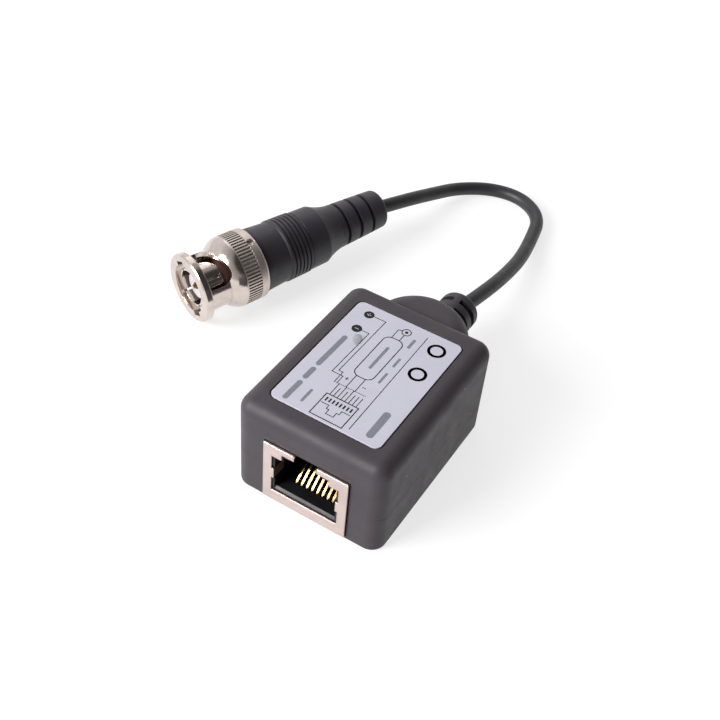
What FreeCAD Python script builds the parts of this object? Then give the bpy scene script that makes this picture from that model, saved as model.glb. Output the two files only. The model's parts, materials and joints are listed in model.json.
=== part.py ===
import FreeCAD
import Part
import math
import os

# Passive video balun: a moulded box with a shielded eight-way modular jack in its front face,
# a transformer on a small board inside, and a short coaxial pigtail ending in a bayonet plug.
# Millimetres. The origin is the centre of the box's bottom face, +Y runs from the jack
# towards the cable, +Z is up.

# Housing, two moulded shells that meet at the parting line
housing_width = 28.2
housing_length = 36.7
housing_height = 19.7
housing_wall = 1.5
roof_thickness = 1.9
floor_thickness = 1.4
corner_radius = 2.7
inner_corner_radius = 1.2
top_edge_radius = 2.6
bottom_edge_radius = 0.6
parting_height = 8.2
lip_height = 0.8
lip_thickness = 0.6
lip_clearance = 0.05

# Half-round nose at the back, which grips the strain relief
nose_radius = 9.2
nose_setback = 1.75
nose_top = 18.3
nose_bottom = 0.5
nose_edge_radius = 4.0

# Label in its shallow recess
label_width = 20.4
label_length = 28.1
label_thickness = 0.3
label_corner = 1.2
label_shift = -0.4
recess_depth = 0.25
recess_margin = 0.25

# Jack: folded shield round a moulded insulator
shield_width = 16.0
shield_height = 13.0
shield_depth = 15.0
shield_sheet = 0.3
shield_lift = 1.0
shield_proud = 0.5
jack_gap = 0.1
window_side = 1.6
window_sill = 2.3
window_height = 8.3
notch_width = 9.0
notch_height = 1.3
slot_width = 4.3
slot_depth = 2.0
finger_height = 2.2
finger_bulge = 0.45
finger_lean = 0.15
finger_run = 2.6
finger_rise = 3.1
finger_clearance = 0.2
tab_width = 1.8
tab_length = 2.0
tab_setback = 8.0
tail_opening_margin = 0.5
insulator_gap = 0.05
cavity_width = 11.8
cavity_sill = 0.7
cavity_height = 7.3
cavity_depth = 11.5
latch_width = 6.3
latch_height = 1.8
latch_depth = 8.5
lead_in = 0.4

# Jack contacts, bent from flat wire
contact_count = 8
contact_pitch = 1.02
contact_width = 0.4
contact_thickness = 0.3
contact_slot = 0.6
contact_run_height = 1.3
contact_bend_setback = 3.2
contact_bend_run = 0.2
contact_bend_rise = 1.1
contact_rise_height = 4.2
contact_rise_setback = 9.4
contact_tip_drop = 0.4
contact_tip_run = 1.2
contact_tail_setback = 14.2

# Printed circuit board
board_side_gap = 0.9
board_end_gap = 1.35
board_corner = 0.6
board_thickness = 1.2
board_post_radius = 1.2
board_post_share = 0.4
board_post_inset_y = 2.1
tail_share = 0.3
hole_clearance = 0.12
joint_share = 0.75
joint_margin = 0.05
boss_overlap = 0.2

# Balun transformer on a ferrite ring
core_outer_radius = 5.0
core_inner_radius = 2.7
core_height = 4.5
core_station = 3.0
winding_build = 0.6
winding_clearance = 0.05
winding_span = 146.0
lead_radius = 0.2

# Strain relief moulded on the cable
relief_radius = 3.9
relief_end = 35.0
relief_end_radius = 1.0
relief_root = 1.2
relief_flange_radius = 5.2
relief_flange_thickness = 1.6
relief_flange_setback = 1.9
relief_clearance = 0.05
relief_slot_width = 1.15
relief_slot_floor = 2.3
relief_slot_span = 160.0
relief_slot_pitch = 2.7
relief_slot_count = 2
relief_slot_setback = 2.7

# Coaxial cable
cable_diameter = 2.9
dielectric_radius = 0.8
conductor_radius = 0.25
braid_radius = 0.35
braid_offset = 0.3
braid_setback = 1.0
braid_length = 1.5
jacket_strip_length = 4.0
dielectric_strip_length = 2.0
conductor_reach = 1.0

# Cable route between the strain relief and the plug boot, chosen by hand
route_points = [
    (1.2, 43.6, 7.1),
    (1.3, 52.5, 5.2),
    (0.8, 61.5, 3.3),
    (-0.8, 70.5, 2.0),
    (-2.8, 79.4, 1.5),
    (-8.9, 83.9, 1.5),
    (-16.2, 83.3, 1.5),
    (-22.4, 77.7, 2.2),
    (-25.0, 69.4, 4.2),
    (-26.9, 61.0, 6.6),
]
bend_share = 0.45

# Plug placement: it lies on the rims of its coupling sleeve
plug_front = (-45.75, 9.85)
plug_heading = 21.0

# Coupling sleeve, stations from its front face
flange_radius = 7.0
flange_thickness = 1.5
flange_edge = 0.25
barrel_radius = 5.7
barrel_end = 6.2
dome_middle = (7.4, 6.7)
grip_radius = 7.25
grip_start = 8.7
sleeve_end = 14.15
sleeve_end_radius = 6.75
sleeve_end_round = 0.5
sleeve_bore_radius = 4.85
counterbore_start = 7.2
counterbore_radius = 6.18
knurl_start = 9.2
knurl_end = 12.3
knurl_count = 66
knurl_width = 0.34
knurl_depth = 0.2
pin_hole_station = 13.0
pin_hole_radius = 0.75
pin_hole_depth = 0.7
pin_hole_angle = 74.0
entry_angle = 120.0
entry_width = 2.4
entry_radius = 5.6
pocket_angle = 43.0
pocket_station = 4.9
pocket_radius = 2.0
ramp_end_angle = 132.0
ramp_drop = 3.0
ramp_power = 1.6
ramp_steps = 8
slot_margin = 1.5

# Plug body and what it carries
body_flange_radius = 6.1
body_flange_front = 7.3
body_flange_thickness = 1.2
body_hub_radius = 4.6
body_hub_front = 6.9
stem_radius = 4.4
stem_end = 20.0
crimp_stem_radius = 2.4
crimp_stem_end = 26.0
jacket_gap = 0.2
body_bore_radius = 1.5
seat_depth = 2.0
contact_ring_radius = 4.05
contact_ring_wall = 0.55
contact_ring_front = 0.6
contact_ring_slot = 0.4
contact_ring_slot_end = 5.4
contact_ring_slots = 4
insulator_radius = 2.6
insulator_front = 1.7
insulator_end = 12.0
insulator_bore = 0.75
pin_radius = 0.675
pin_front = 1.0
pin_tip_length = 0.7
pin_tip_radius = 0.3
pin_end = 15.0
pin_sleeve_radius = 1.05
pin_socket_depth = 2.0
gasket_outer_radius = 4.7
gasket_thickness = 0.9
spring_inner_radius = 4.7
spring_outer_radius = 5.9
spring_thickness = 0.25
spring_height = 1.1
spring_waves = 3
washer_thickness = 0.5
washer_clearance = 0.08
ring_clearance = 0.05
ring_thickness = 0.8
ring_inner_radius = 4.9
ring_groove_depth = 0.35
crimp_wall = 0.3
crimp_start = 20.4
crimp_end = 28.0

# Moulded boot
boot_front = 14.35
boot_lip_radius = 6.7
boot_lip_length = 0.5
boot_front_radius = 6.6
boot_smooth_end = 19.75
boot_smooth_radius = 6.25
ridge_start = 20.12
ridge_end = 25.4
ridge_radius_front = 6.48
ridge_radius_back = 6.34
ridge_count = 6
ridge_groove_depth = 0.25
ridge_groove_width = 0.4
groove_flank = 0.1
boot_band_radius = 6.18
boot_band_end = 29.5
boot_shoulder_radius = 6.08
boot_waist_station = 33.8
boot_waist_radius = 4.62
boot_waist_curve = (31.6, 5.18)
boot_tail_radius = 4.05
boot_end = 45.7
boot_end_round = 0.8
tail_grooves = (35.3, 38.5, 41.7)
tail_groove_width = 0.8
tail_groove_depth = 0.6

# Worked out from the sizes above
half_width = housing_width / 2
half_length = housing_length / 2
roof_height = housing_height - roof_thickness
inner_half_width = half_width - housing_wall
inner_half_length = half_length - housing_wall
jack_front = -half_length - shield_proud
jack_back = jack_front + shield_depth
shield_top = shield_lift + shield_height
board_bottom = shield_top
board_top = board_bottom + board_thickness
board_half_width = inner_half_width - board_side_gap
board_half_length = inner_half_length - board_end_gap
jack_side = shield_width / 2 + jack_gap
board_post_x = jack_side + board_post_share * (inner_half_width - jack_side)
board_post_y = board_half_length - board_post_inset_y
tail_projection = tail_share * (roof_height - board_top)
joint_height = joint_share * tail_projection
nose_centre = half_length - nose_setback
insulator_front_face = jack_front + shield_sheet + insulator_gap
cavity_bottom = shield_lift + window_sill + cavity_sill
contact_tail_y = jack_front + contact_tail_setback
cable_height = parting_height
cable_radius = cable_diameter / 2
relief_start = inner_half_length + relief_flange_setback - relief_root
jacket_end = relief_start - jacket_strip_length
dielectric_end = jacket_end - dielectric_strip_length
conductor_y = dielectric_end - conductor_reach
braid_x = cable_radius + braid_radius + braid_offset
braid_y = jacket_end - braid_setback
plug_pitch = math.atan((grip_radius - flange_radius) / (grip_start - flange_edge))
slot_inner_radius = sleeve_bore_radius - slot_margin
slot_outer_radius = barrel_radius + slot_margin
body_flange_back = body_flange_front + body_flange_thickness
washer_front = body_flange_back + spring_height
washer_back = washer_front + washer_thickness
ring_front = washer_back + ring_clearance
ring_back = ring_front + ring_thickness
jacket_front = crimp_stem_end + jacket_gap

parts = {}


def vector(x, y, z):
    return FreeCAD.Vector(x, y, z)


def box(x_range, y_range, z_range):
    """A box between two coordinates on each axis."""
    size = [high - low for low, high in (x_range, y_range, z_range)]
    return Part.makeBox(*size, vector(x_range[0], y_range[0], z_range[0]))


def cylinder(radius, start, length, direction):
    return Part.makeCylinder(radius, length, vector(*start), vector(*direction))


def edges_where(shape, test):
    """The shape's edges that pass a test on their centre and direction."""
    found = []
    for edge in shape.Edges:
        tangent = edge.tangentAt(edge.FirstParameter)
        if test(edge.CenterOfMass, tangent):
            found.append(edge)
    return found


def rounded_block(half_x, half_y, bottom, top, radius):
    """A block with its four upright edges rounded."""
    block = box((-half_x, half_x), (-half_y, half_y), (bottom, top))
    upright = edges_where(block, lambda centre, tangent: abs(tangent.z) > 0.9)
    return block.makeFillet(radius, upright)


def outline_wire(path):
    """A closed wire in the XZ plane. The path holds (station, radius) points, and an arc
    is written as a pair of points: one it passes through, and its end."""
    def place(point):
        return vector(point[1], 0, point[0])

    edges = []
    last = path[0]
    for step in path[1:] + [path[0]]:
        if isinstance(step[0], tuple):
            through, end = step
            edges.append(Part.Arc(place(last), place(through), place(end)).toShape())
            last = end
        else:
            edges.append(Part.LineSegment(place(last), place(step)).toShape())
            last = step
    return Part.Wire(edges)


def turned(path):
    """The solid that a closed outline sweeps round the local Z axis."""
    face = Part.Face(outline_wire(path))
    return face.revolve(vector(0, 0, 0), vector(0, 0, 1), 360)


def turned_about_y(path, height):
    """A turned solid whose axis runs along +Y at the given height."""
    solid = turned(path)
    solid.rotate(vector(0, 0, 0), vector(1, 0, 0), -90)
    solid.translate(vector(0, 0, height))
    return solid


def ribbon(points, thickness, width, centre_x):
    """A bent strip: a centreline of (y, z) points with mitred corners, extruded along X."""
    normals = []
    for (y0, z0), (y1, z1) in zip(points, points[1:]):
        length = math.hypot(y1 - y0, z1 - z0)
        normals.append((-(z1 - z0) / length, (y1 - y0) / length))
    left = []
    right = []
    for index, (y, z) in enumerate(points):
        before = normals[max(index - 1, 0)]
        after = normals[min(index, len(normals) - 1)]
        mitre_y = before[0] + after[0]
        mitre_z = before[1] + after[1]
        reach = thickness / (mitre_y ** 2 + mitre_z ** 2)
        left.append(vector(centre_x - width / 2, y + mitre_y * reach, z + mitre_z * reach))
        right.append(vector(centre_x - width / 2, y - mitre_y * reach, z - mitre_z * reach))
    corners = left + right[::-1]
    face = Part.Face(Part.makePolygon(corners + [corners[0]]))
    return face.extrude(vector(width, 0, 0))


def plug_axes():
    """The plug's axis direction and the level direction across it."""
    heading = math.radians(plug_heading)
    level = math.cos(plug_pitch)
    along = vector(math.sin(heading) * level, math.cos(heading) * level, math.sin(plug_pitch))
    across = vector(math.cos(heading), -math.sin(heading), 0)
    return along, across


def plug_placement():
    """The plug's frame: local Z runs from the sleeve's front face towards the cable."""
    along, across = plug_axes()
    height = flange_radius * math.cos(plug_pitch) - flange_edge * math.sin(plug_pitch)
    turn = FreeCAD.Rotation(across, along.cross(across), along, "ZXY")
    return FreeCAD.Placement(vector(plug_front[0], plug_front[1], height), turn)


def on_plug(shape):
    """The shape moved from the plug's own frame to the row's frame."""
    placed = shape.copy()
    placed.Placement = plug_placement().multiply(placed.Placement)
    return placed


def plug_point(station):
    return plug_placement().multVec(vector(0, 0, station))


def around_plug(angle):
    """Unit direction in the plug's own frame, at an angle up from the level on the right."""
    turn = math.radians(angle)
    return vector(math.cos(turn), -math.sin(turn), 0)


def housing_block():
    """The outside of both shells together."""
    block = rounded_block(half_width, half_length, 0, housing_height, corner_radius)
    top = edges_where(block, lambda centre, tangent: centre.z > housing_height - 0.01)
    block = block.makeFillet(top_edge_radius, top)
    bottom = edges_where(block, lambda centre, tangent: centre.z < 0.01)
    block = block.makeFillet(bottom_edge_radius, bottom)
    return block.fuse(nose()).removeSplitter()


def nose():
    """Upright half-round nose with softly rounded rims."""
    rim = nose_radius - nose_edge_radius
    slope = nose_edge_radius * math.sin(math.radians(45))
    path = [
        (nose_bottom, 0),
        (nose_bottom, rim),
        ((nose_bottom + nose_edge_radius - slope, rim + slope),
         (nose_bottom + nose_edge_radius, nose_radius)),
        (nose_top - nose_edge_radius, nose_radius),
        ((nose_top - nose_edge_radius + slope, rim + slope), (nose_top, rim)),
        (nose_top, 0),
    ]
    solid = turned(path)
    solid.translate(vector(0, nose_centre, 0))
    return solid


def housing_cavity():
    """The room inside the box, with the jack's opening and the strain relief's seat."""
    room = rounded_block(
        inner_half_width, inner_half_length, floor_thickness, roof_height, inner_corner_radius)
    jack_half = shield_width / 2 + jack_gap
    opening = box(
        (-jack_half, jack_half),
        (jack_front, jack_back + jack_gap),
        (shield_lift - jack_gap, shield_top + jack_gap),
    )
    neck = relief_radius + relief_clearance
    bore = cylinder(neck, (0, inner_half_length - 1, cable_height), relief_end, (0, 1, 0))
    pocket_start = inner_half_length + relief_flange_setback - relief_clearance
    pocket_length = relief_flange_thickness + 2 * relief_clearance
    pocket_radius_here = relief_flange_radius + relief_clearance
    pocket = cylinder(pocket_radius_here, (0, pocket_start, cable_height), pocket_length, (0, 1, 0))
    return room.multiFuse([opening, bore, pocket])


def label_recess():
    half_x = label_width / 2 + recess_margin
    half_y = label_length / 2 + recess_margin
    corner = label_corner + recess_margin
    recess = rounded_block(half_x, half_y, housing_height - recess_depth, housing_height + 1, corner)
    recess.translate(vector(0, label_shift, 0))
    return recess


def rim_ring(inner_clearance, outer_clearance, low, high):
    """The band that stands inside the wall at the parting line."""
    outer = rounded_block(
        inner_half_width + lip_thickness + outer_clearance,
        inner_half_length + lip_thickness + outer_clearance,
        low, high, inner_corner_radius + lip_thickness,
    )
    inner = rounded_block(
        inner_half_width - inner_clearance, inner_half_length - inner_clearance,
        low - 1, high + 1, inner_corner_radius,
    )
    band = outer.cut(inner)
    jack_half = shield_width / 2 + jack_gap
    at_jack = box((-jack_half, jack_half), (jack_front, 0), (low - 1, high + 1))
    nose_half = relief_flange_radius + 1
    at_nose = box((-nose_half, nose_half), (0, half_length), (low - 1, high + 1))
    return band.cut(at_jack).cut(at_nose)


def board_posts(low, high):
    posts = []
    for x in (-board_post_x, board_post_x):
        for y in (-board_post_y, board_post_y):
            posts.append(cylinder(board_post_radius, (x, y, low), high - low, (0, 0, 1)))
    return posts


def half_space(low, high):
    reach = housing_length
    return box((-reach, reach), (-reach, 2 * reach), (low, high))


def build_housing():
    hollow = housing_block().cut(housing_cavity())
    upper = hollow.common(half_space(parting_height, housing_height + 1))
    lower = hollow.common(half_space(-1, parting_height))
    upper = upper.cut(label_recess())
    upper = upper.fuse(
        rim_ring(0, -lip_clearance, parting_height - lip_height + lip_clearance, parting_height))
    upper = upper.multiFuse(board_posts(board_top, roof_height + boss_overlap))
    lower = lower.cut(rim_ring(1, 0, parting_height - lip_height, parting_height + 1))
    lower = lower.multiFuse(board_posts(floor_thickness - boss_overlap, board_bottom))
    parts["housing_upper"] = upper.removeSplitter()
    parts["housing_lower"] = lower.removeSplitter()


def build_label():
    bottom = housing_height - recess_depth
    plate = rounded_block(label_width / 2, label_length / 2, bottom, bottom + label_thickness, label_corner)
    plate.translate(vector(0, label_shift, 0))
    parts["label_plate"] = plate


def shield_window():
    """The opening in the shield's front plate, with the latch notch and its open slot."""
    front = (jack_front - 1, jack_front + shield_sheet)
    sill = shield_lift + window_sill
    window_half = shield_width / 2 - window_side
    main = box((-window_half, window_half), front, (sill, sill + window_height))
    notch_top = sill + window_height + notch_height
    notch = box((-notch_width / 2, notch_width / 2), front, (sill, notch_top))
    slot = box(
        (-slot_width / 2, slot_width / 2),
        (jack_front - 1, jack_front + slot_depth),
        (sill, shield_top + 1),
    )
    return main.multiFuse([notch, slot])


def spring_finger(side):
    """A grounding finger that stands into the window, folded back from the front plate."""
    root = shield_width / 2 - window_side
    fold = root - finger_bulge
    tip = fold - finger_lean
    low = shield_lift + window_sill + finger_rise
    front_y = jack_front + shield_sheet
    corners = [
        (root, front_y),
        (root, jack_front),
        (fold, jack_front),
        (tip, front_y + finger_run),
        (tip + shield_sheet, front_y + finger_run),
        (fold + shield_sheet, front_y),
    ]
    points = [vector(side * x, y, low) for x, y in corners]
    face = Part.Face(Part.makePolygon(points + [points[0]]))
    return face.extrude(vector(0, 0, finger_height))


def build_shield():
    half = shield_width / 2
    shell = box((-half, half), (jack_front, jack_back), (shield_lift, shield_top))
    inner = box(
        (-half + shield_sheet, half - shield_sheet),
        (jack_front + shield_sheet, jack_back + 1),
        (shield_lift + shield_sheet, shield_top - shield_sheet),
    )
    tail_half = contact_count * contact_pitch / 2 + tail_opening_margin
    tail_opening = box(
        (-tail_half, tail_half),
        (contact_tail_y - contact_thickness - tail_opening_margin, jack_back + 1),
        (shield_top - shield_sheet - 1, shield_top + 1),
    )
    shield = shell.cut(inner).cut(shield_window()).cut(tail_opening)
    tab_y = jack_front + tab_setback
    pieces = [spring_finger(-1), spring_finger(1)]
    for side in (-1, 1):
        outer = side * half
        inside = side * (half - shield_sheet)
        pieces.append(box(
            (min(outer, inside), max(outer, inside)),
            (tab_y - tab_width / 2, tab_y + tab_width / 2),
            (shield_top - 0.5, shield_top + tab_length),
        ))
    parts["jack_shield"] = shield.multiFuse(pieces).removeSplitter()


def contact_x(index):
    return (index - (contact_count - 1) / 2) * contact_pitch


def contact_path():
    """Centreline of one contact: tail in the board, run under the cavity, rise into it."""
    run = shield_lift + contact_run_height
    bend_y = jack_front + contact_bend_setback
    rise_y = jack_front + contact_rise_setback
    return [
        (contact_tail_y, board_top + tail_projection),
        (contact_tail_y, run),
        (bend_y, run),
        (bend_y + contact_bend_run, run + contact_bend_rise),
        (rise_y, cavity_bottom + contact_rise_height),
        (rise_y + contact_tip_run, cavity_bottom + contact_rise_height - contact_tip_drop),
    ]


def build_contacts():
    for index in range(contact_count):
        strip = ribbon(contact_path(), contact_thickness, contact_width, contact_x(index))
        parts[f"contact_{index + 1}"] = strip


def build_insulator():
    half = shield_width / 2 - shield_sheet - insulator_gap
    low = shield_lift + shield_sheet + insulator_gap
    high = shield_top - shield_sheet - insulator_gap
    body = box((-half, half), (insulator_front_face, jack_back), (low, high))
    cavity_back = jack_front + cavity_depth
    cavity_top = cavity_bottom + cavity_height
    cavity_half = cavity_width / 2
    cavity = box((-cavity_half, cavity_half), (jack_front - 1, cavity_back), (cavity_bottom, cavity_top))
    step = box(
        (-notch_width / 2, notch_width / 2),
        (jack_front - 1, jack_front + latch_depth),
        (cavity_top - 1, cavity_top + latch_height / 2),
    )
    latch = box(
        (-latch_width / 2, latch_width / 2),
        (jack_front - 1, jack_front + latch_depth),
        (cavity_top - 1, cavity_top + latch_height),
    )
    mouth = box(
        (-slot_width / 2, slot_width / 2),
        (jack_front - 1, jack_front + slot_depth),
        (cavity_top - 1, high + 1),
    )
    ramp = Part.makePolygon([
        vector(-cavity_half, insulator_front_face, cavity_bottom - lead_in),
        vector(-cavity_half, insulator_front_face + lead_in, cavity_bottom),
        vector(-cavity_half, insulator_front_face, cavity_bottom),
        vector(-cavity_half, insulator_front_face, cavity_bottom - lead_in),
    ])
    ramp = Part.Face(ramp).extrude(vector(cavity_width, 0, 0))
    tools = [cavity, step, latch, mouth, ramp]
    for side in (-1, 1):
        tools.append(finger_room(side))
    slot_front = jack_front + contact_bend_setback - contact_thickness
    slot_back = contact_tail_y + contact_thickness
    floor_low = shield_lift + contact_run_height - contact_thickness
    for index in range(contact_count):
        x = contact_x(index)
        sides = (x - contact_slot / 2, x + contact_slot / 2)
        tools.append(box(sides, (slot_front, cavity_back), (floor_low, cavity_bottom + 0.01)))
        tools.append(box(sides, (cavity_back - 0.01, slot_back), (floor_low, high + 1)))
    parts["jack_insulator"] = body.cut(tools[0].multiFuse(tools[1:]))


def finger_room(side):
    """A groove in the insulator's cheek for one grounding finger."""
    root = shield_width / 2 - window_side
    low = shield_lift + window_sill + finger_rise
    inside = side * (root - finger_bulge - finger_lean - insulator_gap)
    outside = side * (root + shield_sheet + insulator_gap)
    return box(
        (min(inside, outside), max(inside, outside)),
        (jack_front - 1, jack_front + shield_sheet + finger_run + finger_clearance),
        (low - finger_clearance, low + finger_height + finger_clearance),
    )


def board_holes():
    """Every hole in the board, as (x, y, radius)."""
    tail_reach = math.hypot(contact_width, contact_thickness) / 2
    holes = [(contact_x(index), contact_tail_y, tail_reach) for index in range(contact_count)]
    holes += [(x, y, lead_radius) for x, y in lead_places()]
    holes.append((0, conductor_y, conductor_radius))
    holes.append((braid_x, braid_y, braid_radius))
    return holes


def lead_places():
    """Where the four winding leads rise beside the ends of the two windings."""
    middle = core_outer_radius + winding_clearance + winding_build / 2
    gap_angle = (180 - winding_span) / 2
    offset = math.degrees((lead_radius + winding_clearance) / middle)
    places = []
    near = gap_angle - offset
    for start in (near, 180 - near, 180 + near, 360 - near):
        turn = math.radians(start)
        places.append((middle * math.cos(turn), core_station + middle * math.sin(turn)))
    return places


def build_board():
    board = rounded_block(board_half_width, board_half_length, board_bottom, board_top, board_corner)
    cuts = []
    for x, y, radius in board_holes():
        start = (x, y, board_bottom - 1)
        cuts.append(cylinder(radius + hole_clearance, start, board_thickness + 2, (0, 0, 1)))
    tab_y = jack_front + tab_setback
    for side in (-1, 1):
        outer = side * (shield_width / 2 + hole_clearance)
        inside = side * (shield_width / 2 - shield_sheet - hole_clearance)
        cuts.append(box(
            (min(outer, inside), max(outer, inside)),
            (tab_y - tab_width / 2 - hole_clearance, tab_y + tab_width / 2 + hole_clearance),
            (board_bottom - 1, board_top + 1),
        ))
    parts["circuit_board"] = board.cut(cuts[0].multiFuse(cuts[1:]))


def build_solder():
    """Fillets of solder on the board's upper side, one round each pin."""
    fillets = []
    for x, y, radius in board_holes():
        reach = radius + hole_clearance + joint_margin
        cone = Part.makeCone(reach, radius, joint_height, vector(x, y, board_top))
        fillets.append(cone)
    shape = Part.makeCompound(fillets)
    contacts = [f"contact_{index + 1}" for index in range(contact_count)]
    for name in contacts + ["balun_leads", "coax_inner_end", "braid_tail"]:
        shape = shape.cut(parts[name])
    parts["solder_joints"] = shape


def build_transformer():
    low = board_bottom - winding_build - winding_clearance - core_height
    high = low + core_height
    core = turned([
        (low, core_inner_radius), (low, core_outer_radius),
        (high, core_outer_radius), (high, core_inner_radius),
    ])
    core.translate(vector(0, core_station, 0))
    parts["balun_core"] = core
    for name, start in (("winding_line_side", 0), ("winding_coax_side", 180)):
        parts[name] = winding(low, high, start)
    leads = []
    for x, y in lead_places():
        foot = low + core_height / 2
        leads.append(cylinder(lead_radius, (x, y, foot), board_top + tail_projection - foot, (0, 0, 1)))
    parts["balun_leads"] = Part.makeCompound(leads)


def winding(low, high, start):
    """One winding as a sleeve round its share of the ferrite ring."""
    grow = winding_clearance + winding_build
    outer = [
        (low - grow, core_inner_radius - grow), (low - grow, core_outer_radius + grow),
        (high + grow, core_outer_radius + grow), (high + grow, core_inner_radius - grow),
    ]
    small = winding_clearance
    inner = [
        (low - small, core_inner_radius - small), (low - small, core_outer_radius + small),
        (high + small, core_outer_radius + small), (high + small, core_inner_radius - small),
    ]
    face = Part.Face(outline_wire(outer)).cut(Part.Face(outline_wire(inner))).Faces[0]
    sleeve = face.revolve(vector(0, 0, 0), vector(0, 0, 1), winding_span)
    sleeve.rotate(vector(0, 0, 0), vector(0, 0, 1), start + (180 - winding_span) / 2)
    sleeve.translate(vector(0, core_station, 0))
    return sleeve


def build_relief():
    flange_start = inner_half_length + relief_flange_setback
    flange_end = flange_start + relief_flange_thickness
    round_off = relief_end_radius * (1 - math.sin(math.radians(45)))
    path = [
        (relief_start, cable_radius),
        (relief_start, relief_radius),
        (flange_start, relief_radius),
        (flange_start, relief_flange_radius),
        (flange_end, relief_flange_radius),
        (flange_end, relief_radius),
        (relief_end - relief_end_radius, relief_radius),
        ((relief_end - round_off, relief_radius - round_off),
         (relief_end, relief_radius - relief_end_radius)),
        (relief_end, cable_radius),
    ]
    relief = turned_about_y(path, cable_height)
    for index in range(relief_slot_count):
        station = relief_end - relief_slot_setback - index * relief_slot_pitch
        for middle in (0, 180):
            relief = relief.cut(relief_slot(station, middle))
    parts["strain_relief"] = relief


def relief_slot(station, middle):
    """A flex slot: part of a ring, on one side of the relief."""
    face = Part.Face(outline_wire([
        (station - relief_slot_width / 2, relief_slot_floor),
        (station - relief_slot_width / 2, relief_radius + 1),
        (station + relief_slot_width / 2, relief_radius + 1),
        (station + relief_slot_width / 2, relief_slot_floor),
    ]))
    ring = face.revolve(vector(0, 0, 0), vector(0, 0, 1), relief_slot_span)
    ring.rotate(vector(0, 0, 0), vector(0, 0, 1), middle - relief_slot_span / 2)
    ring.rotate(vector(0, 0, 0), vector(1, 0, 0), -90)
    ring.translate(vector(0, 0, cable_height))
    return ring


def build_inner_coax():
    """The cable's end inside the box: jacket, dielectric, and the conductor up to the board."""
    stack = turned_about_y([
        (dielectric_end, 0), (dielectric_end, dielectric_radius), (jacket_end, dielectric_radius),
        (jacket_end, cable_radius), (relief_end, cable_radius), (relief_end, 0),
    ], cable_height)
    conductor = bent_wire(conductor_radius, 0, conductor_y, dielectric_end + dielectric_radius)
    parts["coax_inner_end"] = stack.fuse(conductor)
    parts["braid_tail"] = bent_wire(braid_radius, braid_x, braid_y, jacket_end + braid_length)


def bent_wire(radius, x, y, level_end):
    """A wire that lies level at the cable's height and turns up through the board."""
    level = cylinder(radius, (x, y, cable_height), level_end - y, (0, 1, 0))
    riser = cylinder(radius, (x, y, cable_height), board_top + tail_projection - cable_height, (0, 0, 1))
    elbow = Part.makeSphere(radius, vector(x, y, cable_height))
    return level.multiFuse([riser, elbow])


def cable_route():
    """The route's points, from the strain relief's end to the boot's end."""
    start = vector(0, relief_end, cable_height)
    return [start] + [vector(*point) for point in route_points] + [plug_point(boot_end)]


def build_cable():
    """A tube along straight runs joined by tangent arcs, cut flush with the faces at its ends."""
    points = cable_route()
    points[0] = points[0] - (points[1] - points[0]).normalize() * cable_radius
    points[-1] = points[-1] - (points[-2] - points[-1]).normalize() * cable_radius
    edges = []
    last = points[0]
    smallest = None
    for before, corner, after in zip(points, points[1:], points[2:]):
        towards = (before - corner).normalize()
        onwards = (after - corner).normalize()
        turn = math.pi - towards.getAngle(onwards)
        shorter = min(before.distanceToPoint(corner), corner.distanceToPoint(after))
        reach = bend_share * shorter
        radius = reach / math.tan(turn / 2)
        start = corner + towards * reach
        end = corner + onwards * reach
        middle_way = (towards + onwards).normalize()
        centre_reach = radius / math.cos(turn / 2)
        through = corner + middle_way * (centre_reach - radius)
        edges.append(Part.LineSegment(last, start).toShape())
        edges.append(Part.Arc(start, through, end).toShape())
        last = end
        smallest = radius if smallest is None else min(smallest, radius)
        print(f"cable bend: turn {math.degrees(turn):5.1f} deg, radius {radius:5.1f} mm")
    edges.append(Part.LineSegment(last, points[-1]).toShape())
    spine = Part.Wire(edges)
    direction = (points[1] - points[0]).normalize()
    section = Part.Wire(Part.makeCircle(cable_radius, points[0], direction))
    tube = spine.makePipeShell([section], True, False, 1)
    length = sum(edge.Length for edge in edges)
    expected = math.pi * cable_radius ** 2 * length
    ratio = tube.Volume / expected
    print(f"cable length {length:.1f} mm, tightest bend {smallest:.1f} mm, volume ratio {ratio:.4f}")
    reach = 2 * cable_diameter
    heights = (cable_height - reach, cable_height + reach)
    inside_relief = box((-reach, reach), (relief_end - reach, relief_end), heights)
    inside_boot = on_plug(box((-reach, reach), (-reach, reach), (boot_end - reach, boot_end)))
    parts["cable"] = tube.cut(inside_relief).cut(inside_boot)


def sleeve_profile():
    rounding = sleeve_end_round * (1 - math.sin(math.radians(45)))
    groove_radius = counterbore_radius + ring_groove_depth
    return [
        (0, sleeve_bore_radius),
        (0, flange_radius - flange_edge),
        (flange_edge, flange_radius),
        (flange_thickness - flange_edge / 2, flange_radius),
        (flange_thickness, flange_radius - flange_edge / 2),
        (flange_thickness, barrel_radius),
        (barrel_end, barrel_radius),
        (dome_middle, (grip_start, grip_radius)),
        (sleeve_end - sleeve_end_round, grip_radius),
        ((sleeve_end - rounding, grip_radius - rounding), (sleeve_end, sleeve_end_radius)),
        (sleeve_end, counterbore_radius),
        (ring_back, counterbore_radius),
        (ring_back, groove_radius),
        (ring_front, groove_radius),
        (ring_front, counterbore_radius),
        (counterbore_start, counterbore_radius),
        (counterbore_start, sleeve_bore_radius),
    ]


def ramp_station(share):
    """Rear edge of the bayonet slot, from the pocket (0) to the entry (1)."""
    return pocket_station + pocket_radius - ramp_drop * share ** ramp_power


def slot_point(angle, radius, station):
    return around_plug(angle) * radius + vector(0, 0, station)


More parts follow.
